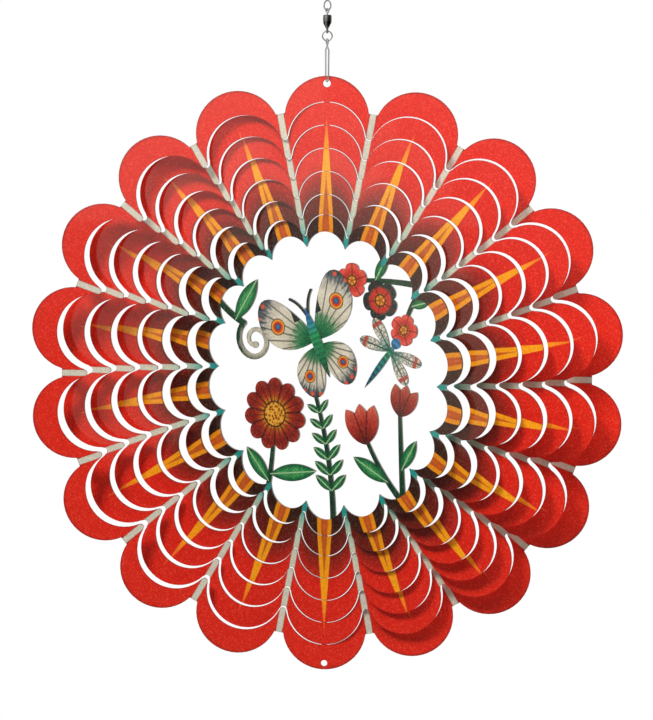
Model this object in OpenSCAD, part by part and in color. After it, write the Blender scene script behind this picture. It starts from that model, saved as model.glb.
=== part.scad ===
// Hanging wind spinner. A scalloped steel sheet is cut into nested rings that turn about one upright
// axis, with cut-out figures in the innermost ring. A wire snap, a link ring and a ball-bearing swivel
// carry it from a top ring. The origin is the centre of that top ring, +Z is up and the front faces -Y.

/* [Plate] */
// Diameter of the plate over its petal tips
plate_d = 304.8; // [290:0.2:330]
// Thickness of the steel sheet
sheet_t = 1; // [0.6:0.1:1.4]
// Petals round each ring, an even number so that one points up and one points down
petal_n = 18; // [16:2:20]
// Narrowest space between the circles of two neighbouring rim petals
petal_gap = 2.7; // [1.5:0.1:4]
// Depth of the valleys between the rim petals, from the tips inwards
valley_depth = 17.2; // [14:0.1:20]
// Radius of the round end of a valley, at the rim's size
valley_end_r = 1.95; // [1.5:0.05:2.4]
// Width of the cut between two rings
slot_w = 0.3; // [0.2:0.05:0.7]
// Width of the uncut neck that carries the next ring
neck_w = 2.8; // [2:0.1:5]

/* [Ring widths] */
// Width of the rim ring at a petal tip
rim_w = 13.2; // [11:0.1:15]
// Width of rings 2 to 5 at a petal tip
ring_w = 11.6; // [10:0.1:13]
// Width of ring 6 at a petal tip
ring_6_w = 10.4; // [9:0.1:12]
// Width of the inner ring at a petal tip
ring_7_w = 8.5; // [7:0.1:11]
// Radius of the round bays of the centre opening
bay_r = 12.1; // [11:0.1:13]

/* [Ring angles] */
// Turn of ring 2 against the rim, in degrees
turn_2 = 6; // [0:0.1:25]
// Turn of ring 3 against ring 2
turn_3 = 4.5; // [0:0.1:25]
// Turn of ring 4 against ring 3
turn_4 = 4.4; // [0:0.1:25]
// Turn of ring 5 against ring 4
turn_5 = 3.4; // [0:0.1:25]
// Turn of ring 6 against ring 5
turn_6 = 5.6; // [0:0.1:25]
// Turn of ring 7 against ring 6
turn_7 = 5.8; // [0:0.1:25]

/* [Holes] */
// Diameter of the hanging hole
top_hole_d = 3.8; // [3.2:0.1:5]
// Distance of the hanging hole's centre below the petal tip
top_hole_drop = 3.8; // [3.4:0.1:6]
// Diameter of the free hole at the bottom
low_hole_d = 3.2; // [2:0.1:4]
// Distance of the bottom hole's centre above the petal tip
low_hole_drop = 3.3; // [3:0.1:6]

/* [Figures] */
// Length of an upper wing of the butterfly
upper_wing_l = 38; // [32:0.5:41]
// Width of an upper wing of the butterfly
upper_wing_w = 23; // [18:0.5:26]
// Length of a lower wing of the butterfly
lower_wing_l = 27; // [22:0.5:30]
// Width of a lower wing of the butterfly
lower_wing_w = 19; // [15:0.5:22]
// Length of the butterfly's body
butterfly_l = 38; // [32:0.5:42]
// Width of the butterfly's body
butterfly_w = 6; // [5:0.1:8]
// Outer radius of the daisy
daisy_r = 19; // [16:0.5:21]
// Petals of the daisy
daisy_n = 11; // [8:1:13]
// Width of a daisy petal
daisy_petal_w = 9.5; // [8:0.1:11]
// Radius of the daisy's eye
daisy_eye_r = 6.5; // [5:0.1:8]
// Height of a tulip cup
tulip_l = 21; // [17:0.5:24]
// Width of a tulip's middle petal
tulip_w = 10; // [8:0.1:12]
// Outer radius of a blossom
blossom_r = 9; // [7:0.1:10]
// Petals of a blossom
blossom_n = 5; // [5:1:7]
// Length of the dragonfly's body
dragonfly_l = 33; // [28:0.5:36]
// Length of a dragonfly wing
dragonfly_wing_l = 19; // [15:0.5:22]
// Pairs of leaflets on the fern sprig
fern_n = 6; // [4:1:7]
// Width of a stem where it leaves the ring
stem_w = 3.4; // [2.6:0.1:4.5]
// Width of a stem at its thin end
stem_tip_w = 2; // [1.4:0.1:2.6]

/* [Hanger] */
// Outer diameter of the top ring and of the link ring
link_od = 5.6; // [5:0.1:7]
// Wire diameter of these rings
link_wire = 0.75; // [0.6:0.05:0.9]
// Hole of the swivel's eye
eye_hole = 1.3; // [1.2:0.05:1.6]
// Wire diameter of the swivel's eye
eye_wire = 0.7; // [0.6:0.05:0.9]
// Diameter of the swivel's shank
shank_d = 0.9; // [0.8:0.05:1]
// Length of shank that shows between the eye and the barrel
shank_show = 0.7; // [0.5:0.05:1.5]
// Diameter of the shank's head
head_d = 2.2; // [2:0.05:2.3]
// Thickness of the shank's head
head_t = 0.7; // [0.5:0.05:1]
// Largest diameter of the swivel barrel, at its shoulder
barrel_d = 4.5; // [4.2:0.1:5.5]
// Diameter of the swivel barrel at its mouth
barrel_mouth_d = 3.6; // [3.3:0.1:4]
// Drop from the barrel's mouth to its shoulder
barrel_shoulder = 1.8; // [1:0.1:3]
// Length of the swivel barrel
barrel_l = 9.3; // [8:0.1:12]
// Diameter of the swivel barrel at its tip
barrel_tip_d = 2.4; // [2.2:0.1:3]
// Bore of the swivel barrel
barrel_bore = 2.5; // [2.4:0.05:2.8]
// Thickness of the flattened tip
tip_t = 1; // [0.8:0.05:1.2]
// Height of the flattened tip
tip_h = 2.2; // [2:0.1:3]
// Height of the slopes that lead from the tip's flats out to the barrel's side
tip_slope = 3.4; // [2:0.1:5]
// Hole through the flattened tip
tip_hole = 1.3; // [1.2:0.05:1.4]
// Thickness of the collar in the barrel's mouth
collar_t = 0.8; // [0.6:0.05:1.2]
// Diameter of a bearing ball
ball_d = 0.6; // [0.5:0.02:0.64]
// Number of bearing balls
ball_n = 6; // [4:1:6]
// Wire diameter of the snap
snap_wire = 0.8; // [0.6:0.05:1]
// Length of the snap, from the centre of its eye to the wire in the hanging hole
snap_l = 20.1; // [16:0.1:24]
// Distance between the snap's legs at its shoulder
snap_w = 3.8; // [3:0.1:5]
// Distance between the snap's legs at its foot
snap_foot_w = 3.4; // [3:0.1:3.6]
// Drop from the snap's eye to its shoulder
snap_shoulder = 4.2; // [3.5:0.1:6]
// Hole of the snap's eye
snap_eye_hole = 1.5; // [1.3:0.05:1.8]
// Turn of the top ring about the upright axis, in degrees
top_ring_turn = 50; // [0:1:90]
// Turn of the snap about the upright axis, in degrees
snap_turn = 28; // [0:1:30]

/* [Fits] */
// Space between a wire and the eye or hole that it hangs in
seat_gap = 0.15; // [0.1:0.01:0.2]
// Space between the snap's wire and the top of the hanging hole
hole_gap = 0.6; // [0.4:0.05:0.7]
// Radial clearance of the shank in its collar
run_gap = 0.05; // [0.02:0.01:0.1]
// Space between a ball and the faces that it rolls on
ball_gap = 0.03; // [0.01:0.01:0.05]
// End play under the shank's head
end_gap = 0.3; // [0.1:0.05:0.5]

/* [Hidden] */
$fn = 64;

paint_red = "#D92B22";
paint_maroon = "#6E1A12";
paint_dark = "#33150D";
leaf_green = "#1E6B45";
wing_cream = "#CFCBC0";
steel = "#B9BCC0";

// Ring k has its tips on tip_r[k - 1], and the last entry is the centre opening
plate_r = plate_d / 2;
half_pitch = 180 / petal_n;
petal_r = (plate_r * sin(half_pitch) - petal_gap / 2) / (1 + sin(half_pitch));
valley_r = plate_r - valley_depth;
ring_widths = [rim_w, ring_w, ring_w, ring_w, ring_w, ring_6_w, ring_7_w];
function first_sum(list, n) = n == 0 ? 0 : list[n - 1] + first_sum(list, n - 1);
tip_r = [for (n = [0:len(ring_widths)]) plate_r - first_sum(ring_widths, n)];
opening_r = tip_r[7];
steps = [0, turn_2, turn_3, turn_4, turn_5, turn_6, turn_7];
ring_turn = [for (n = [1:len(steps)]) first_sum(steps, n)];
// How far out a stem is drawn before the opening's edge trims it
reach = opening_r + 3;

// Heights down the hanging chain
link_r = (link_od - link_wire) / 2;
eye_r = (eye_hole + eye_wire) / 2;
eye_z = -link_r - (eye_hole - link_wire) / 2 + seat_gap;
barrel_top = eye_z - eye_r - eye_wire / 2 - shank_show;
barrel_bottom = barrel_top - barrel_l;
tip_wall = (barrel_tip_d - tip_hole) / 2;
tip_hole_z = barrel_bottom + tip_wall + tip_hole / 2;
link_z = tip_hole_z - (tip_hole - link_wire) / 2 + seat_gap - link_r;
snap_eye_r = (snap_eye_hole + snap_wire) / 2;
snap_eye_z = link_z - link_r - (snap_eye_hole - link_wire) / 2 + seat_gap;
snap_bottom = snap_eye_z - snap_l;
top_hole_z = snap_bottom - (top_hole_d - snap_wire) / 2 + hole_gap;
plate_z = top_hole_z + top_hole_drop - plate_r;

// Heights inside the swivel
collar_bottom = barrel_top - collar_t;
ball_z = collar_bottom - ball_gap - ball_d / 2;
head_top = ball_z - ball_d / 2 - ball_gap;
ball_circle_r = shank_d / 2 + run_gap + ball_d / 2;

// Flat shapes that the sheet is cut from

module petals(tip, r, grow = 0) {
    for (i = [0:petal_n - 1])
        rotate(90 + i * 360 / petal_n)
            translate([tip - r, 0])
                circle(r + grow);
}

function ring_scale(k) = tip_r[k - 1] / plate_r;

// Height of the flat on top of ring k where its neck stands
function neck_y(k) =
    let (r = petal_r * ring_scale(k))
    tip_r[k - 1] - r + sqrt(r * r - neck_w * neck_w / 4);

module neck_pads(k, w) {
    pad_h = 2 * slot_w + neck_w / 2;
    for (side = [0, 180])
        rotate(side)
            translate([-w / 2, neck_y(k)])
                square([w, pad_h]);
}

// Outline of ring k, or of the cut round it when it is grown by the slot
module ring_outline(k, grow = 0) {
    s = ring_scale(k);
    difference() {
        union() {
            petals(tip_r[k - 1], petal_r * s, grow);
            circle(valley_r * s + grow);
        }
        if (k > 1)
            for (i = [0:petal_n - 1])
                rotate(90 + (i + 0.5) * 360 / petal_n)
                    translate([valley_r * s + grow, 0])
                        circle(valley_end_r * s - grow / 2);
    }
}

module opening_outline() {
    petals(opening_r, bay_r);
    circle(opening_r - bay_r);
}

module ring_sheet(k) {
    difference() {
        ring_outline(k);
        if (k > 1)
            neck_pads(k, neck_w + 2 * slot_w);
        if (k < 7)
            difference() {
                ring_outline(k + 1, slot_w);
                neck_pads(k + 1, neck_w);
            }
        else
            opening_outline();
    }
}

// Sheet cut to its children's outline, standing in the plane of ring k
module in_ring(k) {
    translate([0, 0, plate_z])
        rotate([0, 0, -ring_turn[k - 1]])
            rotate([90, 0, 0])
                linear_extrude(sheet_t, center = true)
                    children();
}

// Figure trimmed by the edge of the opening
module figure_sheet() {
    in_ring(7)
        intersection() {
            union()
                children();
            union()
                opening_outline();
        }
}

// Pointed oval from the origin along +X
module leaf(l, w) {
    r = (l * l + w * w) / (4 * w);
    intersection() {
        translate([l / 2, r - w / 2])
            circle(r);
        translate([l / 2, w / 2 - r])
            circle(r);
    }
}

// Drop from a point at the origin to a round end, along +X
drop_steps = 30;
function drop_edge(a) = sin(a) * sqrt((1 - cos(a)) / 2);
drop_peak = max([for (a = [0:2:180]) drop_edge(a)]);
module drop(l, w) {
    polygon([for (i = [0:drop_steps - 1])
        let (a = 360 * i / drop_steps)
        [l * (1 - cos(a)) / 2, -w / 2 * drop_edge(a) / drop_peak]]);
}

// Wing: a drop whose round end sweeps sideways
module wing(l, w, sweep) {
    polygon([for (i = [0:drop_steps - 1])
        let (a = 360 * i / drop_steps, x = (1 - cos(a)) / 2)
        [l * x, sweep * x * x - w / 2 * drop_edge(a) / drop_peak]]);
}

// Stem that bends from a to c by way of b, tapering from w0 to w1
stem_steps = 10;
function bend(a, b, c, t) = (1 - t) * (1 - t) * a + 2 * t * (1 - t) * b + t * t * c;
function bend_way(a, b, c, t) = 2 * (1 - t) * (b - a) + 2 * t * (c - b);
function bend_angle(a, b, c, t) = let (v = bend_way(a, b, c, t)) atan2(v.y, v.x);
function bend_side(a, b, c, t, d) =
    let (v = bend_way(a, b, c, t))
    bend(a, b, c, t) + d * [-v.y, v.x] / norm(v);
module stem(a, b, c, w0 = stem_w, w1 = stem_tip_w) {
    ts = [for (i = [0:stem_steps]) i / stem_steps];
    right = [for (t = ts) bend_side(a, b, c, t, -(w0 + (w1 - w0) * t) / 2)];
    left = [for (t = ts) bend_side(a, b, c, 1 - t, (w0 + (w1 - w0) * (1 - t)) / 2)];
    polygon(concat(right, left));
    translate(c)
        circle(w1 / 2);
}

module leaf_at(p, angle, l, w) {
    translate(p)
        rotate(angle)
            leaf(l, w);
}

function around(angle, r) = r * [cos(angle), sin(angle)];

function turned(p, angle) = [p.x * cos(angle) - p.y * sin(angle), p.x * sin(angle) + p.y * cos(angle)];

// Butterfly, with its head up and to the left
butterfly_at = [-5, 17];
butterfly_tilt = 24;
upper_wing_angle = 27;
lower_wing_angle = -40;
upper_sweep = 9;
lower_sweep = -6;
wing_root = butterfly_w / 4;
left_wing_end = turned([upper_wing_l, -upper_sweep], 180 - upper_wing_angle);
left_wing_tip = butterfly_at + turned([wing_root, wing_root] + left_wing_end, butterfly_tilt);
module butterfly_shape() {
    feeler_w = 1.5;
    feeler_base = butterfly_l / 2 - butterfly_w;
    translate(butterfly_at)
        rotate(butterfly_tilt) {
            rotate(-90)
                translate([-butterfly_l / 2, 0])
                    leaf(butterfly_l, butterfly_w);
            for (side = [-1, 1]) {
                translate([-side * wing_root, wing_root])
                    rotate(90 - side * (90 - upper_wing_angle))
                        wing(upper_wing_l, upper_wing_w, side * upper_sweep);
                translate([-side * wing_root, -wing_root])
                    rotate(90 - side * (90 - lower_wing_angle))
                        wing(lower_wing_l, lower_wing_w, side * lower_sweep);
                stem([0, feeler_base], [side * 2, feeler_base + 9], [side * 7, feeler_base + 13],
                    feeler_w, feeler_w);
            }
        }
}

// Dragonfly, flying up to the right
dragonfly_at = [34, 9];
dragonfly_tilt = -38;
module dragonfly_shape() {
    tail_w = 3.4;
    head_r = 2.8;
    wing_w = 6.4;
    shoulder = dragonfly_l / 2 - 8;
    translate(dragonfly_at)
        rotate(90 + dragonfly_tilt) {
            translate([-dragonfly_l / 2, 0])
                leaf(dragonfly_l, tail_w);
            translate([dragonfly_l / 2 - head_r, 0])
                circle(head_r);
            for (side = [-1, 1])
                for (angle = [70, 112])
                    translate([shoulder, 0])
                        rotate(side * angle)
                            drop(dragonfly_wing_l, wing_w);
        }
}

// Daisy with its eye at daisy_at
daisy_at = [-31, -22];
module daisy_shape() {
    translate(daisy_at) {
        circle(daisy_eye_r);
        for (i = [0:daisy_n - 1])
            rotate(90 + i * 360 / daisy_n)
                drop(daisy_r, daisy_petal_w);
    }
}

// Stem and leaves that carry the daisy on the ring
daisy_foot = around(-119, reach);
module daisy_stem_shape() {
    middle = [-33, -58];
    stem(daisy_foot, middle, daisy_at);
    leaf_at(bend(daisy_foot, middle, daisy_at, 0.45), 8, 29, 9);
    leaf_at(bend(daisy_foot, middle, daisy_at, 0.35), 130, 22, 8);
}

// Two tulips and the stems that carry them on the ring
tulip_at = [[25, -33], [45, -17]];
tulip_lean = [12, -14];
tulip_size = [1, 0.8];
tulip_foot = around(-52, reach);
module tulips_shape() {
    for (i = [0, 1])
        translate(tulip_at[i])
            rotate(90 + tulip_lean[i])
                for (fan = [-24, 0, 24])
                    rotate(fan)
                        leaf(tulip_l * tulip_size[i], tulip_w * tulip_size[i]);
}
module tulip_stems_shape() {
    overlap = [0, 3];
    middles = [[34, -48], [46, -42]];
    leaf_from = [0.35, 0.4];
    leaf_angle = [152, 62];
    leaf_size = [[24, 8], [18, 6.5]];
    for (i = [0, 1]) {
        tip = tulip_at[i] + overlap;
        stem(tulip_foot, middles[i], tip);
        base = bend(tulip_foot, middles[i], tip, leaf_from[i]);
        leaf_at(base, leaf_angle[i], leaf_size[i].x, leaf_size[i].y);
    }
}

// Blossoms along a twig across the upper right
blossom_at = [[16, 50], [33, 41], [47, 27]];
blossom_size = [1, 1.15, 0.9];
module blossoms_shape() {
    bud_share = 0.3;
    for (i = [0:2])
        translate(blossom_at[i]) {
            r = blossom_r * blossom_size[i];
            circle(r * bud_share);
            for (j = [0:blossom_n - 1])
                rotate(90 + 25 * i + j * 360 / blossom_n)
                    drop(r, r * 0.9);
        }
}
twig_foot = around(40, reach);
module blossom_twig_shape() {
    ends = [blossom_at[0], blossom_at[2]];
    middles = [[38, 52], [50, 40]];
    leaf_from = [0.68, 0.5];
    leaf_angle = [62, 16];
    leaf_size = [[15, 6], [11, 5]];
    for (i = [0, 1]) {
        stem(twig_foot, middles[i], ends[i]);
        base = bend(twig_foot, middles[i], ends[i], leaf_from[i]);
        leaf_at(base, leaf_angle[i], leaf_size[i].x, leaf_size[i].y);
    }
}

// Fern sprig that rises from the bottom
fern_bend = [around(-86, reach), [5, -42], [-7, -7]];
module fern_sprig_shape() {
    leaflet_l = 14;
    leaflet_w = 5.4;
    stem(fern_bend[0], fern_bend[1], fern_bend[2]);
    for (i = [0:fern_n - 1]) {
        t = 0.26 + 0.68 * i / fern_n;
        p = bend(fern_bend[0], fern_bend[1], fern_bend[2], t);
        way = bend_angle(fern_bend[0], fern_bend[1], fern_bend[2], t);
        shrink = 1 - 0.45 * t;
        for (side = [-1, 1])
            leaf_at(p, way + side * 48, leaflet_l * shrink, leaflet_w * shrink);
    }
}

// Tendril that leaves the ring on the left and rolls up under the butterfly's left wing tip
tendril_turns = 1.4;
tendril_at = left_wing_tip + [-1.8, -14.5];
tendril_r = 11;
tendril_steps = 40;
function tendril_point(t, side) =
    let (a = 130 + t * 360 * tendril_turns)
    let (r = tendril_r * (1 - 0.78 * t) + side * (stem_w + (stem_tip_w - stem_w) * t) / 2)
    tendril_at + around(a, r);
module tendril_shape() {
    ts = [for (i = [0:tendril_steps]) i / tendril_steps];
    outer = [for (t = ts) tendril_point(t, 1)];
    inner = [for (t = ts) tendril_point(1 - t, -1)];
    polygon(concat(outer, inner));
    translate(tendril_point(1, 0))
        circle(stem_tip_w * 0.9);
    stem(around(152, reach), tendril_at + [-16.5, 12.5], tendril_point(0, 0), stem_w, stem_w);
    leaf_at(tendril_at + [-12.5, 9.5], 58, 26, 9);
}

// Pieces of the sheet

module ring_1() {
    color(paint_red)
        difference() {
            in_ring(1)
                ring_sheet(1);
            translate([0, 0, top_hole_z])
                rotate([90, 0, 0])
                    cylinder(h = 3 * sheet_t, d = top_hole_d, center = true);
            translate([0, 0, plate_z - plate_r + low_hole_drop])
                rotate([90, 0, 0])
                    cylinder(h = 3 * sheet_t, d = low_hole_d, center = true);
        }
}

module turned_ring(k, paint) {
    color(paint)
        in_ring(k)
            ring_sheet(k);
}

module ring_2() {
    turned_ring(2, paint_red);
}

module ring_3() {
    turned_ring(3, paint_red);
}

module ring_4() {
    turned_ring(4, paint_red);
}

module ring_5() {
    turned_ring(5, paint_red);
}

module ring_6() {
    turned_ring(6, paint_maroon);
}

module ring_7() {
    turned_ring(7, paint_dark);
}

module butterfly() {
    color(wing_cream)
        figure_sheet()
            butterfly_shape();
}

module dragonfly() {
    color(wing_cream)
        figure_sheet()
            difference() {
                dragonfly_shape();
                butterfly_shape();
            }
}

module daisy() {
    color(paint_red)
        figure_sheet()
            difference() {
                daisy_shape();
                butterfly_shape();
            }
}

module daisy_stem() {
    color(leaf_green)
        figure_sheet()
            difference() {
                daisy_stem_shape();
                daisy_shape();
            }
}

module tulips() {
    color(paint_red)
        figure_sheet()
            difference() {
                tulips_shape();
                dragonfly_shape();
            }
}

module tulip_stems() {
    color(leaf_green)
        figure_sheet()
            difference() {
                tulip_stems_shape();
                tulips_shape();
                dragonfly_shape();
            }
}

module blossoms() {
    color(paint_red)
        figure_sheet()
            difference() {
                blossoms_shape();
                butterfly_shape();
                dragonfly_shape();
            }
}

module blossom_twig() {
    color(leaf_green)
        figure_sheet()
            difference() {
                blossom_twig_shape();
                blossoms_shape();
            }
}

module fern_sprig() {
    color(leaf_green)
        figure_sheet()
            difference() {
                fern_sprig_shape();
                butterfly_shape();
                daisy_shape();
                daisy_stem_shape();
                tulips_shape();
            }
}

module tendril() {
    color(leaf_green)
        figure_sheet()
            difference() {
                tendril_shape();
                butterfly_shape();
                daisy_shape();
            }
}

// Pieces of the hanger

// Wire ring round the Y axis
module wire_ring(r, wire) {
    rotate([90, 0, 0])
        rotate_extrude()
            translate([r, 0])
                circle(d = wire);
}

module top_ring() {
    color(steel)
        rotate([0, 0, top_ring_turn])
            wire_ring(link_r, link_wire);
}

module swivel_eye() {
    color(steel) {
        translate([0, 0, eye_z])
            rotate([0, 0, top_ring_turn + 90])
                wire_ring(eye_r, eye_wire);
        translate([0, 0, head_top - head_t])
            cylinder(h = eye_z - eye_r - head_top + head_t, d = shank_d);
        translate([0, 0, head_top - head_t])
            cylinder(h = head_t, d = head_d);
    }
}

module swivel_collar() {
    color(steel)
        translate([0, 0, collar_bottom])
            difference() {
                cylinder(h = collar_t, d = barrel_bore);
                translate([0, 0, -collar_t])
                    cylinder(h = 3 * collar_t, d = shank_d + 2 * run_gap);
            }
}

module bearing_balls() {
    color(steel)
        for (i = [0:ball_n - 1])
            rotate([0, 0, i * 360 / ball_n])
                translate([ball_circle_r, 0, ball_z])
                    sphere(d = ball_d);
}

// Barrel with a rounded shoulder, whose side curves in to a flattened tip
module swivel_barrel() {
    bore_bottom = head_top - head_t - end_gap;
    shoulder_r = barrel_d / 2;
    mouth_r = barrel_mouth_d / 2;
    side_r = barrel_tip_d / 2;
    side_l = barrel_l - barrel_shoulder;
    side = [for (a = [0:15:90]) [side_r + (shoulder_r - side_r) * sin(a), barrel_bottom + side_l * a / 90]];
    shoulder = [for (a = [18:18:90])
        [mouth_r + (shoulder_r - mouth_r) * cos(a), barrel_bottom + side_l + barrel_shoulder * sin(a)]];
    color(steel)
        difference() {
            rotate_extrude()
                polygon([[0, barrel_bottom], each side, each shoulder, [0, barrel_top]]);
            translate([0, 0, bore_bottom])
                cylinder(h = 2 * barrel_l, d = barrel_bore);
            for (turn = [0, 180])
                rotate([0, 0, turn])
                    translate([0, barrel_d, barrel_bottom])
                        rotate([90, 0, 0])
                            linear_extrude(2 * barrel_d)
                                polygon([[tip_t / 2, -tip_h], [barrel_d, -tip_h],
                                    [barrel_d, tip_h + tip_slope], [shoulder_r, tip_h + tip_slope],
                                    [tip_t / 2, tip_h]]);
            translate([0, 0, tip_hole_z])
                rotate([0, 90, 0])
                    cylinder(h = 2 * barrel_d, d = tip_hole, center = true);
        }
}

module link_ring() {
    color(steel)
        translate([0, 0, link_z])
            wire_ring(link_r, link_wire);
}

// Straight wire between two points of the YZ plane, with a slightly swollen bend at its second point
module wire(p, q) {
    v = q - p;
    swell = 1.08;
    translate([0, p.x, p.y])
        rotate([atan2(-v.x, v.y), 0, 0])
            cylinder(h = norm(v), d = snap_wire);
    translate([0, q.x, q.y])
        sphere(d = swell * snap_wire);
}

module snap() {
    foot_r = snap_foot_w / 2;
    foot_z = snap_bottom + foot_r;
    cross_angle = 50;
    cross = snap_eye_r * [sin(cross_angle), -cos(cross_angle)];
    cross_offset = snap_wire / 8;
    color(steel)
        rotate([0, 0, snap_turn]) {
            translate([0, 0, snap_eye_z])
                rotate([0, 0, 90])
                    wire_ring(snap_eye_r, snap_wire);
            for (side = [-1, 1]) {
                shoulder = [side * snap_w / 2, snap_eye_z - snap_shoulder];
                translate([side * cross_offset, 0, 0])
                    wire([-side * cross.x, snap_eye_z + cross.y], shoulder);
                wire(shoulder, [side * foot_r, foot_z]);
            }
            translate([0, 0, foot_z])
                difference() {
                    rotate([0, 0, 90])
                        wire_ring(foot_r, snap_wire);
                    translate([-snap_w, -snap_w, 0])
                        cube(2 * snap_w);
                }
        }
}

ring_1();
ring_2();
ring_3();
ring_4();
ring_5();
ring_6();
ring_7();
butterfly();
dragonfly();
daisy();
daisy_stem();
tulips();
tulip_stems();
blossoms();
blossom_twig();
fern_sprig();
tendril();
top_ring();
swivel_eye();
swivel_collar();
bearing_balls();
swivel_barrel();
link_ring();
snap();
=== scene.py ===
import math

import bpy
from mathutils import Matrix, Vector


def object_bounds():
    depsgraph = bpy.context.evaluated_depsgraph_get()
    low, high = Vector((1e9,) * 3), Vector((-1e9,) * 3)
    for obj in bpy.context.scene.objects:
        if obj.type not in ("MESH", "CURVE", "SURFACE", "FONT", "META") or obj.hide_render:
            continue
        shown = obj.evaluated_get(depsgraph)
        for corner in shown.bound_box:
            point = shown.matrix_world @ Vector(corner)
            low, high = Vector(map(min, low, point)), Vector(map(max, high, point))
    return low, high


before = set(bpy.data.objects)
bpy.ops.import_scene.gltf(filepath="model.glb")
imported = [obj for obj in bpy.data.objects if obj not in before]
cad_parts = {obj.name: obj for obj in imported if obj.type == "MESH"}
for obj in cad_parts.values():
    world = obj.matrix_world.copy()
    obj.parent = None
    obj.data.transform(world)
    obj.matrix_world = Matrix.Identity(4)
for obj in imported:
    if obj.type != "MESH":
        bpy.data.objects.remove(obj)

cad_low, cad_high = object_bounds()


# Camera. A long lens in front of the plate, a little to its right and a little above it, as the spinner was
# pictured. The frame is 653 by 720, and its long side is the sensor's 36 mm.
frame_long_side = 720
sensor_long_side = 36
plate_middle = Vector((0, 0, -0.1875))
view_azimuth, view_elevation = math.radians(3.87), math.radians(7.73)
view_roll = math.radians(0.286)
view_distance = 1.6014
towards_camera = Vector((
    math.sin(view_azimuth) * math.cos(view_elevation),
    -math.cos(view_azimuth) * math.cos(view_elevation),
    math.sin(view_elevation),
))
bpy.ops.object.select_all(action="DESELECT")
bpy.ops.object.camera_add(location=plate_middle + view_distance * towards_camera)
camera = bpy.context.object
camera.name = "picture_camera"
look = (-towards_camera).to_track_quat("-Z", "Y").to_matrix() @ Matrix.Rotation(view_roll, 3, "Z")
camera.rotation_euler = look.to_euler()
camera.data.sensor_width = sensor_long_side
camera.data.lens = 157.3
shift_px = Vector((0.94, 16.25))
camera.data.shift_x, camera.data.shift_y = shift_px / frame_long_side
bpy.context.scene.camera = camera


# Rim ring. The outermost ring of the sheet, 1 mm steel, with eighteen petals, a hanging hole and a free hole.
# It is laser cut, printed on both faces and clear coated, so the cut edges stay bare steel.
plate_r = 152.4
petal_n = 18
petal_r = 21.4
half_pitch = math.pi / petal_n
mm_per_metre = 1000


def linear(hex_colour):
    """Linear colour of an sRGB hex value."""
    parts = [int(hex_colour[i:i + 2], 16) / 255 for i in (1, 3, 5)]
    return tuple(p / 12.92 if p <= 0.04045 else ((p + 0.055) / 1.055) ** 2.4 for p in parts) + (1,)


def add(tree, kind, *inputs, at=None, stops=None, out=0, **settings):
    """Adds a node with its settings, its ramp stops and its inputs, each a socket or a value."""
    made = tree.nodes.new("ShaderNode" + kind)
    for name, value in settings.items():
        setattr(made, name, value)
    if stops:
        ramp = made.color_ramp.elements
        ramp[0].position, ramp[1].position = stops[0][0], stops[-1][0]
        for place, _ in stops[1:-1]:
            ramp.new(place)
        for element, (_, colour) in zip(ramp, stops):
            element.color = linear(colour)
    for key, value in [*enumerate(inputs), *(at or {}).items()]:
        if isinstance(value, bpy.types.NodeSocket):
            tree.links.new(value, made.inputs[key])
        elif value is not None:
            made.inputs[key].default_value = value
    return made.outputs if out is None else made.outputs[out]


def paint(tree, share, under, over):
    """One colour laid over another, as far as share says."""
    return add(tree, "Mix", share, at={6: under, 7: over}, data_type="RGBA", out=2)


def length(tree, vector):
    return add(tree, "VectorMath", vector, operation="LENGTH", out=1)


def emptied(owner):
    """Node tree of a material or a world, with nothing in it."""
    owner.use_nodes = True
    owner.node_tree.nodes.clear()
    return owner.node_tree


def dress(node, material):
    """Gives a CAD node this material and no other."""
    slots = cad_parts[node].data.materials
    slots.clear()
    slots.append(material)


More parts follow.
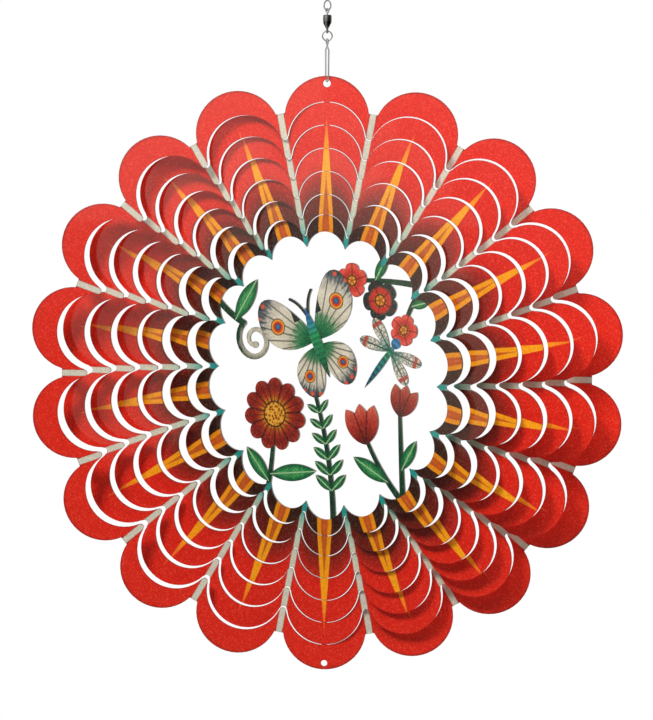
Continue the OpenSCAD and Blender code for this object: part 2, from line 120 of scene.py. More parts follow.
def printed_sheet(name, turn, draw):
    """Material of a printed sheet that is turned by that many degrees about the axis. draw(tree, flat)
    returns the print's colour, and flat is in millimetres from the plate's middle, with the sheet turned
    back flat."""
    mottle_size, grain_size, wave_size, peel_size = 2.4, 0.6, 35, 0.9
    edge_line_w, wave_h, peel_h = 0.0009, 0.0004, 0.0002
    material = bpy.data.materials.new(name)
    tree = emptied(material)
    angle = math.radians(turn)
    where = add(tree, "TexCoord", out=None)
    flat = add(tree, "Mapping", where["Object"], (0, 0, -mm_per_metre * plate_middle.z), (0, 0, angle),
               (mm_per_metre,) * 3)
    colour = draw(tree, flat)
    # Grainy ink with fine pale flakes in it, both drawn at 0.6 mm, coarser than the real grain
    mottle = add(tree, "TexNoise", flat, at={"Scale": 1 / mottle_size, "Detail": 3.0})
    grain = add(tree, "TexVoronoi", flat, at={"Scale": 1 / grain_size}, out=1)
    value = add(tree, "Mix", 0.3, at={2: grain, 3: mottle})
    value = add(tree, "MapRange", value, 0.2, 0.8, 0.86, 1.12)
    colour = add(tree, "HueSaturation", 0.5, 1.0, value, 1.0, colour)
    flake = add(tree, "MapRange", grain, 0.6, 1.0, 0.0, 0.075)
    colour = paint(tree, flake, colour, linear("#E9C8A8"))
    # A thin dark line is painted along each edge
    rounded = add(tree, "Bevel", edge_line_w, samples=6)
    surface = add(tree, "NewGeometry", out=None)["Normal"]
    agree = add(tree, "VectorMath", rounded, surface, operation="DOT_PRODUCT", out=1)
    edge_line = add(tree, "MapRange", agree, 0.985, 0.85, 0.0, 0.42)
    colour = paint(tree, edge_line, colour, linear("#4A2A26"))
    # The cut edge itself is bare steel
    across = add(tree, "VectorMath", where["Normal"], (-math.sin(angle), -math.cos(angle), 0),
                 operation="DOT_PRODUCT", out=1)
    across = add(tree, "Math", across, operation="ABSOLUTE")
    cut = add(tree, "Math", across, 0.5, operation="LESS_THAN")
    colour = paint(tree, cut, colour, linear("#8F8C88"))
    gloss = add(tree, "MapRange", mottle, 0.3, 0.7, 0.32, 0.44)
    # The coat is faintly pitted, and the thin sheet is not quite flat
    wave = add(tree, "TexNoise", flat, at={"Scale": 1 / wave_size, "Detail": 0.0})
    bump = add(tree, "Bump", 1.0, wave_h, at={"Height": wave})
    peel = add(tree, "TexNoise", flat, at={"Scale": 1 / peel_size, "Detail": 1.0})
    bump = add(tree, "Bump", 0.06, peel_h, at={"Height": peel, "Normal": bump})
    shader = add(tree, "BsdfPrincipled", at={
        "Base Color": colour, "Metallic": cut, "Roughness": gloss, "Normal": bump,
        "IOR": 1.5, "Specular IOR Level": 0.12, "Coat Weight": 1.0, "Coat Roughness": 0.07})
    add(tree, "OutputMaterial", shader, out=None)
    return material


def draw_rays(tree, flat):
    """Print of the rings: red that darkens inwards, an orange ray on each petal, pale webs between petals."""
    u, _, w = add(tree, "SeparateXYZ", flat, out=None)
    plane = add(tree, "VectorMath", flat, (1, 0, 1), operation="MULTIPLY")
    r = length(tree, plane)
    angle = add(tree, "Math", u, w, operation="ARCTAN2")
    fold = add(tree, "Math", angle, half_pitch, operation="PINGPONG")
    sine = add(tree, "Math", fold, operation="SINE")
    cosine = add(tree, "Math", fold, operation="COSINE")
    across = add(tree, "Math", r, sine, operation="MULTIPLY")
    along = add(tree, "Math", r, cosine, operation="MULTIPLY")
    # Scalloped radius: the rim's own outline, shrunk until it passes through the point
    petal_at = plate_r - petal_r
    side = add(tree, "Math", sine, petal_at, operation="MULTIPLY")
    side = add(tree, "Math", side, side, operation="MULTIPLY")
    rest = add(tree, "Math", petal_r ** 2, side, operation="SUBTRACT")
    rest = add(tree, "Math", rest, 0.0, operation="MAXIMUM")
    rest = add(tree, "Math", rest, operation="SQRT")
    outline = add(tree, "Math", cosine, petal_at, rest, operation="MULTIPLY_ADD")
    shrink = add(tree, "Math", r, outline, operation="DIVIDE")
    # The ramp's last stop paints a thin darker line along the rim's outer edge
    colour = add(tree, "ValToRGB", shrink, stops=[
        (0.48, "#220E06"), (0.535, "#341208"), (0.55, "#521208"), (0.6, "#651409"), (0.62, "#7A1910"),
        (0.66, "#A01D14"), (0.7, "#CC2114"), (0.72, "#D42214"), (0.99, "#D8281A"), (1.0, "#A01E18")])
    # Orange ray: a long wedge with its tip in ring 2, split further in by a red-brown middle
    ray_foot, ray_tip, ray_slope, ray_half, band_w = 70.0, 132.5, 0.08, 4.4, 2.3
    half = add(tree, "Math", ray_tip, along, operation="SUBTRACT")
    half = add(tree, "Math", half, ray_slope, operation="MULTIPLY")
    half = add(tree, "Math", half, ray_half, operation="MINIMUM")
    beyond = add(tree, "Math", across, half, operation="SUBTRACT")
    ray = add(tree, "MapRange", beyond, 0.25, -0.25, 0.0, 1.0, interpolation_type="SMOOTHSTEP")
    stroke = add(tree, "CombineXYZ", across, 0.0, along)
    stroke = add(tree, "Mapping", stroke, at={"Scale": (1 / 0.7, 1, 1 / 9)})
    brushed = add(tree, "TexNoise", stroke, at={"Scale": 1.0, "Detail": 3.0})
    place = add(tree, "MapRange", along, ray_foot, ray_tip)
    gold = add(tree, "ValToRGB", place, stops=[
        (0.0, "#DC840E"), (0.35, "#E8960F"), (0.7, "#F4A016"), (0.9, "#EC701E"), (1.0, "#E04A26")])
    colour = paint(tree, ray, colour, gold)
    inside = add(tree, "Math", beyond, band_w, operation="ADD")
    core = add(tree, "MapRange", inside, 0.4, -0.4, 0.0, 0.82, interpolation_type="SMOOTHSTEP")
    ember = add(tree, "ValToRGB", brushed, stops=[(0.3, "#8A2A14"), (0.5, "#A83A1A"), (0.7, "#C04A20")])
    colour = paint(tree, core, colour, ember)
    # Pale web on each valley line, turning mint and then teal at the inner rings
    web_foot, web_end, web_edge = 60.0, 136.0, 0.12
    slant = add(tree, "Math", half_pitch, fold, operation="SUBTRACT")
    slant = add(tree, "Math", slant, operation="SINE")
    off_web = add(tree, "Math", r, slant, operation="MULTIPLY")
    web_half = add(tree, "MapRange", r, 62.0, 135.0, 1.45, 1.6)
    past_web = add(tree, "Math", off_web, web_half, operation="SUBTRACT")
    web = add(tree, "MapRange", past_web, web_edge, -web_edge, 0.0, 1.0)
    place = add(tree, "MapRange", r, web_foot, web_end)
    pale = add(tree, "ValToRGB", place, stops=[
        (0.0, "#14787A"), (0.15, "#1E938E"), (0.19, "#78AFA2"), (0.28, "#B0C2B2"), (0.43, "#C6C7B7"),
        (0.6, "#CCC9BC"), (1.0, "#CDCABD")])
    colour = paint(tree, web, colour, pale)
    outline = add(tree, "Math", past_web, operation="ABSOLUTE")
    outline = add(tree, "MapRange", outline, 0.1, 0.3, 0.35, 0.0)
    return paint(tree, outline, colour, linear("#57453C"))


dress("ring_1", printed_sheet("printed_steel_rim", 0, draw_rays))


# Inner rings. Six more rings of the same sheet, each held by two narrow necks at the top and the bottom and
# bent a few degrees further about the axis. The print runs on over them and grows dark towards the middle.
ring_turns = {"ring_2": 6.0, "ring_3": 10.5, "ring_4": 14.9, "ring_5": 18.3, "ring_6": 23.9, "ring_7": 29.7}
for ring, turn in ring_turns.items():
    dress(ring, printed_sheet("printed_steel_" + ring, turn, draw_rays))


# Butterfly. The largest figure of the middle, left standing in the sheet and printed like a hand painting:
# green at the wing roots, cream with dark veins, a slate margin with coral spots, and ringed eye spots.
figure_turn = ring_turns["ring_7"]


def on_spot(tree, flat, spot, turn):
    """Flat coordinates from that spot, turned so that +X of the pattern points that many degrees from +X."""
    angle = math.radians(turn)
    u, w = spot
    back = (-u * math.cos(angle) - w * math.sin(angle), 0, u * math.sin(angle) - w * math.cos(angle))
    return add(tree, "Mapping", flat, back, (0, angle, 0))


def brush(tree, angle, reach, round_fine, long_fine, scale=1.5):
    """Brush strokes that run out from a middle, as fine round it and along them as the two numbers say."""
    turn_round = add(tree, "Math", angle, round_fine, operation="MULTIPLY")
    long_way = add(tree, "Math", reach, long_fine, operation="MULTIPLY")
    stroke = add(tree, "CombineXYZ", turn_round, 0.0, long_way)
    return add(tree, "TexNoise", stroke, at={"Scale": scale, "Detail": 3.0})


def ragged(tree, place, brushed, amount):
    """Place in a ramp, made ragged by brush strokes."""
    shift = add(tree, "Math", brushed, 0.5, operation="SUBTRACT")
    return add(tree, "Math", shift, amount, place, operation="MULTIPLY_ADD")


def oval_depth(tree, folded, long, wide, sideways):
    """Depth inside a pointed oval of that size. The coordinates are folded onto one side of it, and sideways
    is the axis of its width."""
    bow = (long ** 2 + wide ** 2) / (4 * wide)
    away = add(tree, "VectorMath", folded, (bow - wide / 2) * Vector(sideways), operation="ADD")
    return add(tree, "Math", bow, length(tree, away), operation="SUBTRACT")


def bands(tree, along, pitch):
    band = add(tree, "Math", along, 2 * math.pi / pitch, operation="MULTIPLY")
    return add(tree, "Math", band, operation="SINE")


def draw_butterfly(tree, flat):
    local = on_spot(tree, flat, (-5, 17), 24)
    x, _, z = add(tree, "SeparateXYZ", local, out=None)
    side = add(tree, "Math", x, operation="ABSOLUTE")
    half = add(tree, "CombineXYZ", side, 0.0, z)
    reach = length(tree, half)
    angle = add(tree, "Math", z, side, operation="ARCTAN2")
    hind_l, fore_l = 29.5, 41.5
    fore = add(tree, "MapRange", angle, math.radians(-9), math.radians(-5))
    wing_l = add(tree, "MapRange", fore, 0.0, 1.0, hind_l, fore_l)
    share = add(tree, "Math", reach, wing_l, operation="DIVIDE")
    streaky = ragged(tree, share, brush(tree, angle, reach, 16.0, 0.16, 1.6), 0.34)
    colour = add(tree, "ValToRGB", streaky, stops=[
        (0.08, "#0F4632"), (0.24, "#1D7046"), (0.34, "#5E8F68"), (0.40, "#C4C0AC"), (0.62, "#D9D3C3"),
        (0.76, "#B9B4A8"), (0.84, "#5C666A"), (0.95, "#2A3338")])
    vein_step = math.radians(5.5)
    fold = add(tree, "Math", angle, vein_step, operation="PINGPONG")
    off_vein = add(tree, "Math", fold, reach, operation="MULTIPLY")
    vein = add(tree, "MapRange", off_vein, 0.2, 0.55, 0.8, 0.0)
    out_wing = add(tree, "MapRange", share, 0.22, 0.36)
    vein = add(tree, "Math", vein, out_wing, operation="MULTIPLY")
    colour = paint(tree, vein, colour, linear("#343C3C"))
    # Coral spots between the veins of the margin
    margin = 0.9
    between = add(tree, "Math", vein_step, fold, operation="SUBTRACT")
    between = add(tree, "Math", between, reach, operation="MULTIPLY")
    from_margin = add(tree, "Math", share, margin, operation="SUBTRACT")
    from_margin = add(tree, "Math", from_margin, wing_l, operation="MULTIPLY")
    spot = add(tree, "CombineXYZ", between, 0.0, from_margin)
    spot = length(tree, spot)
    spot = add(tree, "MapRange", spot, 1.0, 1.35, 1.0, 0.0)
    colour = paint(tree, spot, colour, linear("#D2553F"))
    # Ringed eye spots, one on each wing
    for spot_at, spot_r in (((19.5, 15.5), 4.4), ((11.0, -14.5), 3.4)):
        off = add(tree, "VectorMath", half, (spot_at[0], 0, spot_at[1]), operation="SUBTRACT")
        off = length(tree, off)
        off = add(tree, "Math", off, spot_r, operation="DIVIDE")
        rings = add(tree, "ValToRGB", off, stops=[
            (0.24, "#2B6C9E"), (0.32, "#12302F"), (0.42, "#B8352B"), (0.62, "#C9472E"), (0.7, "#E08A2A"),
            (0.86, "#DD9A36"), (0.93, "#1E2B2A")])
        inside = add(tree, "MapRange", off, 0.97, 1.03, 1.0, 0.0)
        colour = paint(tree, inside, colour, rings)
    # Body: a pointed oval with bands, blue at the head, and dark feelers before it
    body_l, body_w, band_pitch = 38, 6, 2.8
    feelers_from, feelers_w = 14.0, 9.0
    body = add(tree, "MapRange", oval_depth(tree, half, body_l, body_w, (1, 0, 0)), -0.1, 0.1)
    band = add(tree, "MapRange", bands(tree, z, band_pitch), -1.0, 1.0, 0.7, 1.25)
    place = add(tree, "MapRange", z, -body_l / 2, body_l / 2)
    trunk = add(tree, "ValToRGB", place, stops=[
        (0.0, "#123B2E"), (0.35, "#1D6E49"), (0.62, "#278A55"), (0.78, "#2A7C96"), (0.92, "#285F9A")])
    trunk = add(tree, "HueSaturation", 0.5, 1.0, band, 1.0, trunk)
    feeler = add(tree, "Math", z, feelers_from, operation="GREATER_THAN")
    near = add(tree, "Math", side, feelers_w, operation="LESS_THAN")
    feeler = add(tree, "Math", feeler, near, operation="MULTIPLY")
    colour = paint(tree, feeler, colour, linear("#1F2E2A"))
    return paint(tree, body, colour, trunk)


dress("butterfly", printed_sheet("printed_steel_butterfly", figure_turn, draw_butterfly))


# Dragonfly. A small figure on the right of the butterfly, with a banded blue-green body and four pale wings
# that are netted with fine dark veins.
def draw_dragonfly(tree, flat):
    local = on_spot(tree, flat, (34, 9), 52)
    x, _, z = add(tree, "SeparateXYZ", local, out=None)
    side = add(tree, "Math", z, operation="ABSOLUTE")
    shoulder_x, head_x, head_r = 8.5, 13.7, 2.8
    wing_l, tip_mark, cell_size = 19.5, 15.6, 1.9
    body_l, body_w, band_pitch = 33, 3.4, 3.2
    half = add(tree, "CombineXYZ", x, 0.0, side)
    from_shoulder = add(tree, "VectorMath", half, (shoulder_x, 0, 0), operation="SUBTRACT")
    reach = length(tree, from_shoulder)
    fore, _, out_side = add(tree, "SeparateXYZ", from_shoulder, out=None)
    angle = add(tree, "Math", out_side, fore, operation="ARCTAN2")
    place = add(tree, "MapRange", reach, 0.0, wing_l)
    colour = add(tree, "ValToRGB", place, stops=[
        (0.1, "#2C7E6C"), (0.3, "#93B5A6"), (0.5, "#D2D0C2"), (0.85, "#D8D5C8"), (1.0, "#A9ADA8")])
    cell = add(tree, "TexVoronoi", flat, at={"Scale": 1 / cell_size}, feature="DISTANCE_TO_EDGE")
    net = add(tree, "MapRange", cell, 0.05, 0.16, 0.7, 0.0)
    colour = paint(tree, net, colour, linear("#3C4646"))
    off_axis = add(tree, "Math", angle, math.radians(70), operation="SUBTRACT")
    off_axis = add(tree, "Math", off_axis, math.radians(21), operation="PINGPONG")
    off_axis = add(tree, "Math", off_axis, reach, operation="MULTIPLY")
    main = add(tree, "MapRange", off_axis, 0.25, 0.5, 0.9, 0.0)
    colour = paint(tree, main, colour, linear("#27413C"))
    tip = add(tree, "Math", reach, tip_mark, operation="SUBTRACT")
    tip = add(tree, "Math", tip, operation="ABSOLUTE")
    tip = add(tree, "MapRange", tip, 0.9, 1.2, 0.9, 0.0)
    colour = paint(tree, tip, colour, linear("#A8382C"))
    depth = oval_depth(tree, half, body_l, body_w, (0, 0, 1))
    from_head = add(tree, "VectorMath", half, (head_x, 0, 0), operation="SUBTRACT")
    from_head = length(tree, from_head)
    head = add(tree, "Math", head_r, from_head, operation="SUBTRACT")
    body = add(tree, "Math", depth, head, operation="MAXIMUM")
    body = add(tree, "MapRange", body, -0.1, 0.1)
    band = add(tree, "MapRange", bands(tree, x, band_pitch), -0.6, 0.6, 0.55, 1.2)
    place = add(tree, "MapRange", x, -body_l / 2, body_l / 2)
    trunk = add(tree, "ValToRGB", place, stops=[
        (0.0, "#173A52"), (0.4, "#1F6F78"), (0.75, "#24845C"), (0.88, "#2A6FA6"), (1.0, "#2F86B4")])
    trunk = add(tree, "HueSaturation", 0.5, 1.0, band, 1.0, trunk)
    return paint(tree, body, colour, trunk)


dress("dragonfly", printed_sheet("printed_steel_dragonfly", figure_turn, draw_dragonfly))


# Daisy. A round flower at the lower left, with eleven red petals that are streaked lengthwise and turn gold
# at the foot, round a dotted golden eye.
def draw_daisy(tree, flat):
    petals, eye_r, flower_r, dot_size = 11, 6.5, 19.0, 1.5
    local = on_spot(tree, flat, (-31, -22), 0)
    x, _, z = add(tree, "SeparateXYZ", local, out=None)
    plane = add(tree, "VectorMath", local, (1, 0, 1), operation="MULTIPLY")
    reach = length(tree, plane)
    angle = add(tree, "Math", x, z, operation="ARCTAN2")
    fold = add(tree, "Math", angle, math.pi / petals, operation="PINGPONG")
    off_rib = add(tree, "Math", fold, reach, operation="MULTIPLY")
    place = add(tree, "MapRange", reach, eye_r, flower_r)
    streaky = ragged(tree, place, brush(tree, angle, reach, 20.0, 0.12), 0.9)
    colour = add(tree, "ValToRGB", streaky, stops=[
        (0.0, "#C98A28"), (0.2, "#A8441C"), (0.42, "#8E241A"), (0.7, "#701C17"), (0.95, "#A03428")])
    rib = add(tree, "MapRange", off_rib, 0.15, 0.5, 0.75, 0.0)
    colour = paint(tree, rib, colour, linear("#5A1712"))
    gap = add(tree, "Math", math.pi / petals, fold, operation="SUBTRACT")
    gap = add(tree, "Math", gap, reach, operation="MULTIPLY")
    gap = add(tree, "MapRange", gap, 0.2, 0.8, 0.85, 0.0)
    colour = paint(tree, gap, colour, linear("#2E1512"))
    dots = add(tree, "TexVoronoi", flat, at={"Scale": 1 / dot_size})
    dots = add(tree, "ValToRGB", dots, stops=[(0.25, "#6B3512"), (0.45, "#C8842A"), (0.7, "#E3AA3C")])
    eye = add(tree, "MapRange", reach, eye_r - 0.3, eye_r, 1.0, 0.0)
    colour = paint(tree, eye, colour, dots)
    ring = add(tree, "Math", reach, eye_r, operation="SUBTRACT")
    ring = add(tree, "Math", ring, operation="ABSOLUTE")
    ring = add(tree, "MapRange", ring, 0.3, 0.6, 0.9, 0.0)
    return paint(tree, ring, colour, linear("#33160F"))


dress("daisy", printed_sheet("printed_steel_daisy", figure_turn, draw_daisy))


# Stems and leaves. Green pieces of the sheet that carry the flowers on the inner ring, painted dark at their
# edges and lighter in the middle, with a pale midrib and side veins on each leaf.
def draw_greenery(leaves, cream_spot=None, cream_r=1):
    """Print of stems with these leaves, each its foot, its angle, its length and its width in millimetres.
    The paint turns cream within cream_r of cream_spot."""
    def draw(tree, flat):
        # Far from every leaf to begin with, so that the stems keep the plain green
        far, vein_slope, vein_gap = 9.0, 1.3, 1.2
        off_rib, off_vein, blade = far, far, -far
        for (u, w), angle, long, wide in leaves:
            a = math.radians(angle)
            middle = (u + long / 2 * math.cos(a), w + long / 2 * math.sin(a))
            local = on_spot(tree, flat, middle, angle)
            local = add(tree, "VectorMath", local, (1, 0, 1), operation="MULTIPLY")
            apart = add(tree, "VectorMath", local, operation="ABSOLUTE")
            depth = oval_depth(tree, apart, long, wide, (0, 0, 1))
            blade = add(tree, "Math", blade, depth, operation="MAXIMUM")
            outside = add(tree, "Math", depth, 0.0, operation="LESS_THAN")
            x, _, _ = add(tree, "SeparateXYZ", local, out=None)
            _, _, z = add(tree, "SeparateXYZ", apart, out=None)
            to_rib = add(tree, "Math", outside, far, z, operation="MULTIPLY_ADD")
            off_rib = add(tree, "Math", off_rib, to_rib, operation="MINIMUM")
            slope = add(tree, "Math", z, -vein_slope, x, operation="MULTIPLY_ADD")
            slope = add(tree, "Math", slope, vein_gap, operation="PINGPONG")
            slope = add(tree, "Math", outside, far, slope, operation="MULTIPLY_ADD")
            off_vein = add(tree, "Math", off_vein, slope, operation="MINIMUM")
        stroke = add(tree, "Mapping", flat, at={"Rotation": (0, 0.6, 0), "Scale": (1 / 1.2, 1, 1 / 5)})
        brushed = add(tree, "TexNoise", stroke, at={"Scale": 1.0, "Detail": 3.0})
        body = add(tree, "MapRange", blade, -1.0, 2.6, 0.0, 0.7)
        lit = add(tree, "Math", brushed, 0.55, body, operation="MULTIPLY_ADD")
        colour = add(tree, "ValToRGB", lit, stops=[
            (0.15, "#06281B"), (0.35, "#0B412A"), (0.6, "#155E38"), (0.85, "#227A44"), (1.0, "#459A5A")])
        vein = add(tree, "MapRange", off_vein, 0.12, 0.4, 0.5, 0.0)
        colour = paint(tree, vein, colour, linear("#0C4A2E"))
        rib = add(tree, "MapRange", off_rib, 0.15, 0.45, 0.8, 0.0)
        colour = paint(tree, rib, colour, linear("#A9CDA0"))
        if cream_spot:
            off = add(tree, "VectorMath", flat, (cream_spot[0], 0, cream_spot[1]), operation="SUBTRACT")
            off = add(tree, "VectorMath", off, (1, 0, 1), operation="MULTIPLY")
            off = length(tree, off)
            streaky = add(tree, "Math", brushed, 7.0, off, operation="MULTIPLY_ADD")
            cream = add(tree, "MapRange", streaky, cream_r + 5.0, cream_r + 2.0)
            pale = add(tree, "ValToRGB", brushed, stops=[
                (0.3, "#8F9186"), (0.55, "#C6C1AF"), (0.75, "#DAD5C6")])
            colour = paint(tree, cream, colour, pale)
        return colour
    return draw


def bend(a, b, c, t):
    """Point at share t of the stem that bends from a to c by way of b."""
    return tuple((1 - t) ** 2 * p + 2 * t * (1 - t) * q + t * t * r for p, q, r in zip(a, b, c))


def around(angle, r):
    return (r * math.cos(math.radians(angle)), r * math.sin(math.radians(angle)))


stem_reach = 76.9
daisy_bend = (around(-119, stem_reach), (-33, -58), (-31, -22))
tulip_foot = around(-52, stem_reach)
tulip_bends = ((tulip_foot, (34, -48), (25, -30)), (tulip_foot, (46, -42), (45, -14)))
twig_foot = around(40, stem_reach)
twig_bends = ((twig_foot, (38, 52), (16, 50)), (twig_foot, (50, 40), (47, 27)))
stem_leaves = {
    "daisy_stem": [(bend(*daisy_bend, 0.45), 8, 29, 9), (bend(*daisy_bend, 0.35), 130, 22, 8)],
    "tulip_stems": [(bend(*tulip_bends[0], 0.35), 152, 24, 8), (bend(*tulip_bends[1], 0.4), 62, 18, 6.5)],
    "blossom_twig": [(bend(*twig_bends[0], 0.68), 62, 15, 6), (bend(*twig_bends[1], 0.5), 16, 11, 5)],
}
for stem, leaves in stem_leaves.items():
    dress(stem, printed_sheet("printed_steel_" + stem, figure_turn, draw_greenery(leaves)))


# Tulips. Two cups of three petals at the lower right, coral at the lips and deep red at the foot, with
# brushed streaks along the petals and dark lines between them.
def draw_tulips(tree, flat):
    cup_l, second_size, between_cups = 21.0, 0.8, 36.5
    u, _, _ = add(tree, "SeparateXYZ", flat, out=None)
    second = add(tree, "Math", u, between_cups, operation="GREATER_THAN")
    first_cup = on_spot(tree, flat, (25, -33), 102)
    second_cup = on_spot(tree, flat, (45, -17), 76)
    second_cup = add(tree, "VectorMath", second_cup, (1 / second_size,) * 3, operation="MULTIPLY")
    local = add(tree, "Mix", second, at={4: first_cup, 5: second_cup}, data_type="VECTOR", out=1)
    x, _, z = add(tree, "SeparateXYZ", local, out=None)
    plane = add(tree, "VectorMath", local, (1, 0, 1), operation="MULTIPLY")
    reach = length(tree, plane)
    angle = add(tree, "Math", z, x, operation="ARCTAN2")
    place = add(tree, "MapRange", reach, 0.0, cup_l)
    streaky = ragged(tree, place, brush(tree, angle, reach, 16.0, 0.1), 0.7)
    colour = add(tree, "ValToRGB", streaky, stops=[
        (0.05, "#481212"), (0.25, "#741C18"), (0.5, "#9C2B24"), (0.75, "#B84438"), (1.0, "#CE6A54")])
    wide = add(tree, "Math", angle, operation="ABSOLUTE")
    edge = add(tree, "Math", wide, math.radians(13), operation="SUBTRACT")
    edge = add(tree, "Math", edge, operation="ABSOLUTE")
    edge = add(tree, "Math", edge, reach, operation="MULTIPLY")
    edge = add(tree, "MapRange", edge, 0.2, 0.55, 0.85, 0.0)
    colour = paint(tree, edge, colour, linear("#35120F"))
    deep = add(tree, "Math", second, -0.25, 1.0, operation="MULTIPLY_ADD")
    return add(tree, "HueSaturation", 0.5, 1.0, deep, 1.0, colour)


dress("tulips", printed_sheet("printed_steel_tulips", figure_turn, draw_tulips))


# Blossoms. Three small flowers with five petals along a twig at the upper right, red at the ends of the row
# and near black with a red heart in the middle of it.
def draw_blossoms(tree, flat):
    petals, heart_r = 5, 0.29
    spots = (((16, 50), 9.0, 0), ((33, 41), 10.35, 25), ((47, 27), 8.1, 50))
    best, nearest, middle_one = None, None, 0.0
    for number, (spot, size, turn) in enumerate(spots):
        local = on_spot(tree, flat, spot, turn)
        local = add(tree, "VectorMath", local, (1 / size, 0, 1 / size), operation="MULTIPLY")
        off = length(tree, local)
        if best is None:
            best, nearest = off, local
            continue
        closer = add(tree, "Math", off, best, operation="LESS_THAN")
        nearest = add(tree, "Mix", closer, at={4: nearest, 5: local}, data_type="VECTOR", out=1)
        best = add(tree, "Math", best, off, operation="MINIMUM")
        middle_one = add(tree, "Mix", closer, at={2: middle_one, 3: 1.0 if number == 1 else 0.0})
    x, _, z = add(tree, "SeparateXYZ", nearest, out=None)
    angle = add(tree, "Math", x, z, operation="ARCTAN2")
    fold = add(tree, "Math", angle, math.pi / petals, operation="PINGPONG")
    streaky = ragged(tree, best, brush(tree, angle, best, 12.0, 1.0), 0.6)
    red = add(tree, "ValToRGB", streaky, stops=[
        (0.25, "#DE8F2E"), (0.36, "#A32A22"), (0.6, "#C93A30"), (0.85, "#DE5A4C"), (1.0, "#B8352C")])
    dark = add(tree, "ValToRGB", streaky, stops=[
        (0.25, "#E0902C"), (0.35, "#B02C24"), (0.58, "#C8372C"), (0.66, "#16302C"), (1.0, "#0E2422")])
    colour = paint(tree, middle_one, red, dark)
    rib = add(tree, "Math", fold, best, operation="MULTIPLY")
    rib = add(tree, "MapRange", rib, 0.02, 0.06, 0.7, 0.0)
    colour = paint(tree, rib, colour, linear("#5A1613"))
    heart = add(tree, "Math", best, heart_r, operation="SUBTRACT")
    heart = add(tree, "Math", heart, operation="ABSOLUTE")
    heart = add(tree, "MapRange", heart, 0.03, 0.06, 0.85, 0.0)
    return paint(tree, heart, colour, linear("#32140F"))


dress("blossoms", printed_sheet("printed_steel_blossoms", figure_turn, draw_blossoms))


# Fern sprig and tendril. A sprig of paired leaflets that rises from the bottom, and a stem on the left that
# rolls up into a cream end.
fern_bend = (around(-86, stem_reach), (5, -42), (-7, -7))
leaflet_pairs, leaflet_l, leaflet_w, leaflet_splay = 6, 14, 5.4, 48
first_pair, pairs_span = 0.26, 0.68
leaflets = []
for i in range(leaflet_pairs):
    t = first_pair + pairs_span * i / leaflet_pairs
    foot = bend(*fern_bend, t)
    way = [2 * (1 - t) * (q - p) + 2 * t * (r - q) for p, q, r in zip(*fern_bend)]
    ahead = math.degrees(math.atan2(way[1], way[0]))
    size = 1 - 0.45 * t
    leaflets += [
        (foot, ahead + side * leaflet_splay, leaflet_l * size, leaflet_w * size) for side in (-1, 1)]
tendril_middle = (-43.5, 15.5)
tendril_leaf = ((tendril_middle[0] - 12.5, tendril_middle[1] + 9.5), 58, 26, 9)
for sprig, leaves, cream_spot, cream_r in (
        ("fern_sprig", leaflets, fern_bend[2], 4), ("tendril", [tendril_leaf], tendril_middle, 9)):
    greenery = draw_greenery(leaves, cream_spot, cream_r)
    dress(sprig, printed_sheet("printed_steel_" + sprig, figure_turn, greenery))


# Hanger. A top ring, a swivel with its eye, collar, balls and tapered barrel, a link ring and a snap of
# spring wire. All are drawn or turned steel, nickel plated and polished, so they mirror the white and dark
# around.
def plated_steel(name, colour, rough):
    mark_scale, smudge_scale, mark_h = (4000, 4000, 300), 400.0, 0.00005
    material = bpy.data.materials.new(name)
    tree = emptied(material)
    where = add(tree, "TexCoord", out=None)["Object"]
    # Drawing marks along the wire, stretched upright, and smudges a few millimetres wide
    marks = add(tree, "Mapping", where, at={"Scale": mark_scale})
    marks = add(tree, "TexNoise", marks, at={"Scale": 1.0, "Detail": 2.0})
    smudge = add(tree, "TexNoise", where, at={"Scale": smudge_scale, "Detail": 2.0})
    tone = add(tree, "MapRange", smudge, 0.3, 0.7, 0.82, 1.05)
    tinted = add(tree, "HueSaturation", 0.5, 1.0, tone, 1.0, linear(colour))
    polish = add(tree, "MapRange", smudge, 0.3, 0.7, rough, rough + 0.12)
    bump = add(tree, "Bump", 0.1, mark_h, at={"Height": marks})
    shader = add(tree, "BsdfPrincipled", at={
        "Base Color": tinted, "Metallic": 1.0, "Roughness": polish, "Normal": bump})
    add(tree, "OutputMaterial", shader, out=None)
    return material


bright_wire = plated_steel("nickel_plated_wire", "#B4B8B6", 0.06)
# The barrel has the same plating as the wire, coloured darker as a painted dark reflection
barrel_painted_dark = plated_steel("nickel_plated_barrel_painted_dark", "#6E7470", 0.12)
for piece in ("top_ring", "swivel_eye", "swivel_collar", "bearing_balls", "link_ring", "snap"):
    dress(piece, bright_wire)
dress("swivel_barrel", barrel_painted_dark)


# Floor and light. A pale floor well below the hanging plate, two boards on the left and above that show only
# in glossy surfaces, a soft lamp at the upper left for the shadows, lamps that fill the right, the front and
# the back, and a white room.
floor_drop, floor_r = 0.7, 2.4
fade_from, fade_to = 0.35 * floor_r, 0.95 * floor_r
bpy.ops.object.select_all(action="DESELECT")
bpy.ops.mesh.primitive_circle_add(
    vertices=96, radius=floor_r, fill_type="NGON", location=(0, 0, cad_low.z - floor_drop))
floor = bpy.context.object
floor.name = "floor"
pale = bpy.data.materials.new("pale_floor")
tree = emptied(pale)
where = add(tree, "TexCoord", out=None)["Object"]
grain = add(tree, "TexNoise", where, at={"Scale": 30.0, "Detail": 4.0})
tone = add(tree, "ValToRGB", grain, stops=[(0.3, "#ECECEA"), (0.7, "#F2F2F0")])
matt = add(tree, "BsdfDiffuse", tone)
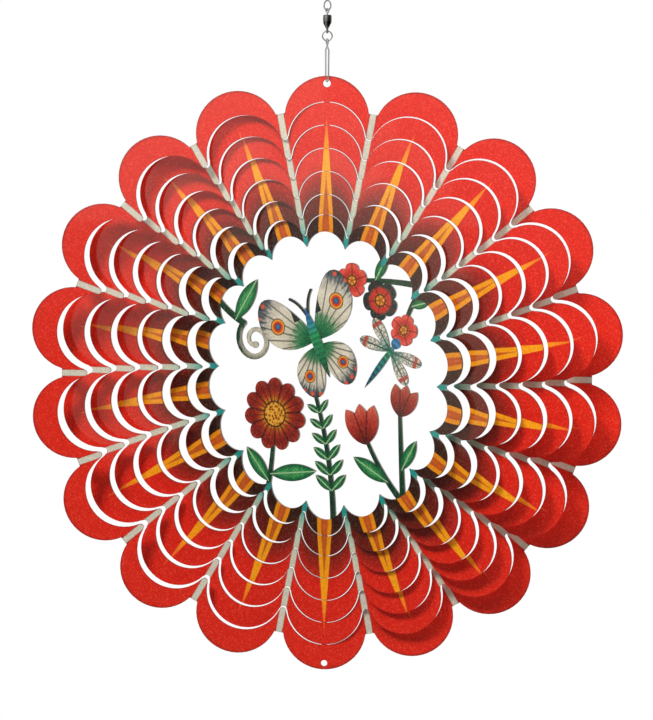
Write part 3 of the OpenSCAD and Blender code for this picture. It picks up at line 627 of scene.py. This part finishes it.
# Seen straight on or in a mirror the floor is nearly white, keeps its shadow and fades into the backdrop
ray = add(tree, "LightPath", out=None)
seen = add(tree, "Math", ray["Is Camera Ray"], ray["Is Glossy Ray"], operation="MAXIMUM")
seen = add(tree, "Math", seen, ray["Is Transmission Ray"], operation="MAXIMUM")
reach = length(tree, where)
fade = add(tree, "MapRange", reach, fade_from, fade_to, 0.68, 1.0)
fade = add(tree, "Math", fade, seen, operation="MULTIPLY")
glow = add(tree, "Emission", linear("#FFFFFF"), 1.0)
add(tree, "OutputMaterial", add(tree, "MixShader", fade, matt, glow), out=None)
floor.data.materials.append(pale)


def lamp(name, place, aim, size, power, colour, mirrored=False):
    """Oblong lamp, with its place and aim in metres from the plate's middle. A mirrored one is a board that
    only shows in glossy surfaces, and any other one only lights matt ones."""
    bpy.ops.object.light_add(type="AREA", location=plate_middle + Vector(place))
    made = bpy.context.object
    made.name = name
    made.data.shape = "RECTANGLE"
    made.data.size, made.data.size_y = size
    made.data.energy = power
    made.data.color = linear(colour)[:3]
    made.rotation_euler = (Vector(aim) - Vector(place)).to_track_quat("-Z", "Y").to_euler()
    made.visible_camera = False
    made.visible_glossy = mirrored
    made.visible_diffuse = not mirrored


cream, warm_white = "#FFF0DA", "#FFFAF2"
lamp("near_panel", (-0.379, -0.369, 0.315), (0.034, 0.541, 0.315), (0.30, 0.87), 0.6, cream, True)
lamp("top_panel", (-0.105, -0.2, 0.21), (-0.105, 0, 0.21), (0.18, 0.3), 0.08, cream, True)
lamp("shadow_lamp", (-0.845, -1.252, 1.459), (0, 0, 0), (0.5, 0.5), 40.0, warm_white)
lamp("right_fill", (0.62, -0.22, 0.05), (0.14, 0, 0), (0.15, 0.5), 1.8, warm_white)
lamp("front_fill", (0.12, -0.4, 0.4), (0.05, 0, 0.08), (0.2, 0.2), 1.2, warm_white)
lamp("back_fill", (0.7, 1.7, 0.9), (0, 0, 0), (0.9, 0.9), 33.0, warm_white)

world = bpy.data.worlds.new("white_room")
bpy.context.scene.world = world
tree = emptied(world)
ray = add(tree, "LightPath", out=None)
right, back, up = add(tree, "SeparateXYZ", add(tree, "TexCoord", out=None)["Generated"], out=None)
behind = add(tree, "MapRange", back, 0.1, 0.6)
behind = add(tree, "Math", behind, ray["Is Glossy Ray"], operation="MULTIPLY")
white = add(tree, "Math", ray["Is Camera Ray"], ray["Is Transmission Ray"], operation="MAXIMUM")
white = add(tree, "Math", white, behind, operation="MAXIMUM")
# Mirrored from the front, the room is dark below eye level, pale above it and dim on the right
mirrored = add(tree, "MapRange", up, -0.13, -0.03, 0.05, 1.0)
dim = add(tree, "MapRange", right, -0.1, 0.5, 1.0, 0.12)
mirrored = add(tree, "Math", mirrored, dim, operation="MULTIPLY")
room_light = 0.01
level = add(tree, "Mix", ray["Is Glossy Ray"], at={2: room_light, 3: mirrored})
room = add(tree, "Background", linear("#FFFFFF"), level)
backdrop = add(tree, "Background", linear("#FFFFFF"), 1.0)
mixed = add(tree, "MixShader", white, room, backdrop)
add(tree, "OutputWorld", mixed, out=None)
bpy.context.scene.view_settings.view_transform = "Standard"
